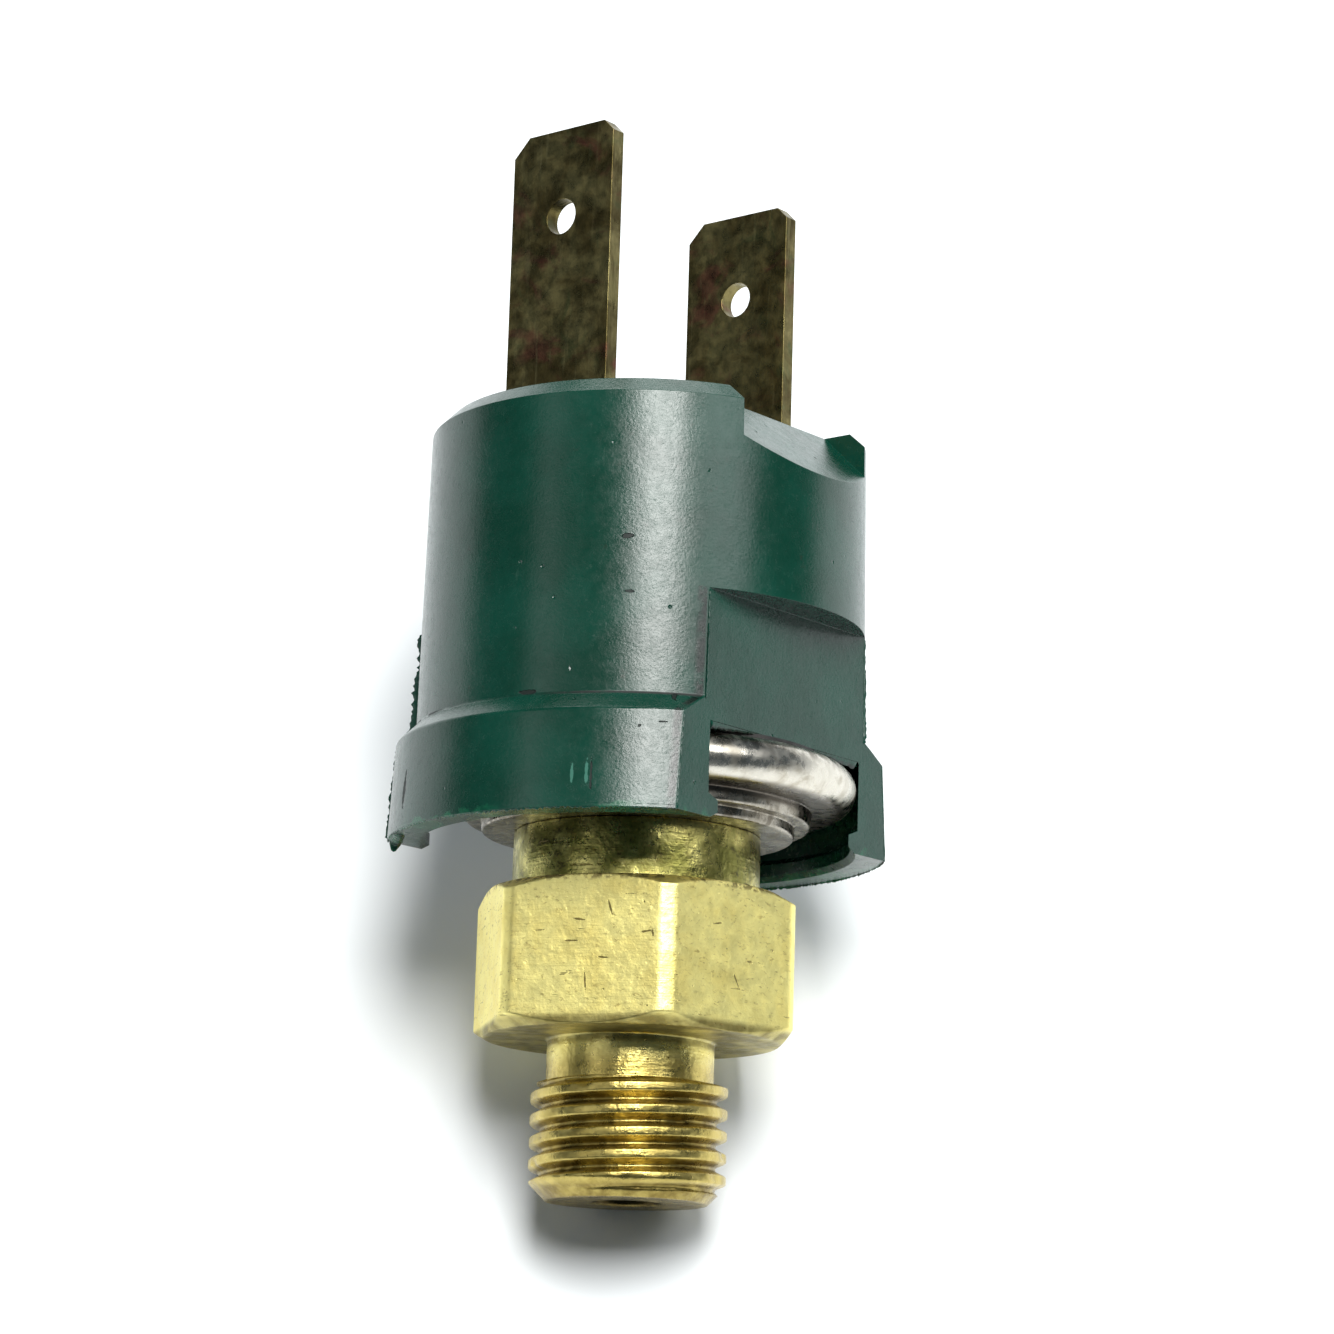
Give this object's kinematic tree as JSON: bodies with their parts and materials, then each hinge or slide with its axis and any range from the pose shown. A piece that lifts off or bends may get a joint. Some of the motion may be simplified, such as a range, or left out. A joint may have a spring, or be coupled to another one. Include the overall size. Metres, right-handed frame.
{
  "type": "pressure switch",
  "caption": "Screw-in pressure switch: brass hex port, crimped steel snap-disc capsule, moulded housing with flats and a key notch, and two blade terminals.",
  "frame": {"origin": "on the axis, on the seat face under the hexagon", "axes": "+Z along the axis from the pressure port to the blade terminals, +X along the blades' width, toward the key notch and the flat under it"},
  "size_m": [0.0218, 0.0244, 0.0521],
  "materials": {
    "brass_fitting": "machined bar brass, bright, slightly pitted, with an olive stain on the collar",
    "capsule_steel": "drawn and crimped steel, bright with brown stains",
    "seal_rubber": "matte black rubber",
    "film": "amber film, satin",
    "disc_steel": "rolled spring steel",
    "base_moulding": "filled thermoset, matte",
    "ceramic": "unglazed white ceramic",
    "blade_brass": "tarnished stamped brass with brown and purple blotches",
    "spring_copper": "rolled copper alloy, satin",
    "contact_silver": "satin silver",
    "rivet_brass": "drawn brass, satin",
    "housing_plastic": "dark green glass-filled plastic, semi-gloss, scuffed",
    "epoxy": "poured black epoxy, satin"
  },
  "bodies": {
    "switch_body": {"port_fitting": "brass_fitting", "capsule_cup": "capsule_steel", "seal_ring": "seal_rubber", "diaphragm": "film", "disc_support": "capsule_steel", "capsule_gasket": "seal_rubber", "switch_base": "base_moulding", "arm_terminal": "blade_brass", "contact_terminal": "blade_brass", "arm_root": "spring_copper", "fixed_contact": "contact_silver", "clamp_plate": "rivet_brass", "arm_rivets": "rivet_brass", "post_rivets": "rivet_brass", "housing": "housing_plastic", "terminal_potting": "epoxy"},
    "disc": {"pressure_pad": "disc_steel", "snap_disc": "disc_steel"},
    "pin": {"transfer_pin": "ceramic"},
    "arm": {"contact_arm": "spring_copper", "moving_contact": "contact_silver"}
  },
  "joints": [
    {"name": "disc_snap", "type": "slide", "parent": "switch_body", "child": "disc", "axis": [0, 0, 1], "range_m": [0, 0.0004], "stiffness_N_per_m": 1500, "springref_m": -0.002, "deforming": ["diaphragm"]},
    {"name": "pin_lift", "type": "slide", "parent": "switch_body", "child": "pin", "axis": [0, 0, 1], "range_m": [0, 0.0004]},
    {"name": "arm_swing", "type": "hinge", "parent": "switch_body", "child": "arm", "pos_m": [0, -0.00457, 0.01766], "axis": [1, 0, 0], "range_deg": [0, 5.02]}
  ],
  "couplings": [
    {"joint": "pin_lift", "follows": "disc_snap", "ratio": 1},
    {"joint": "arm_swing", "follows": "disc_snap", "rad_per_m": 218.82}
  ]
}
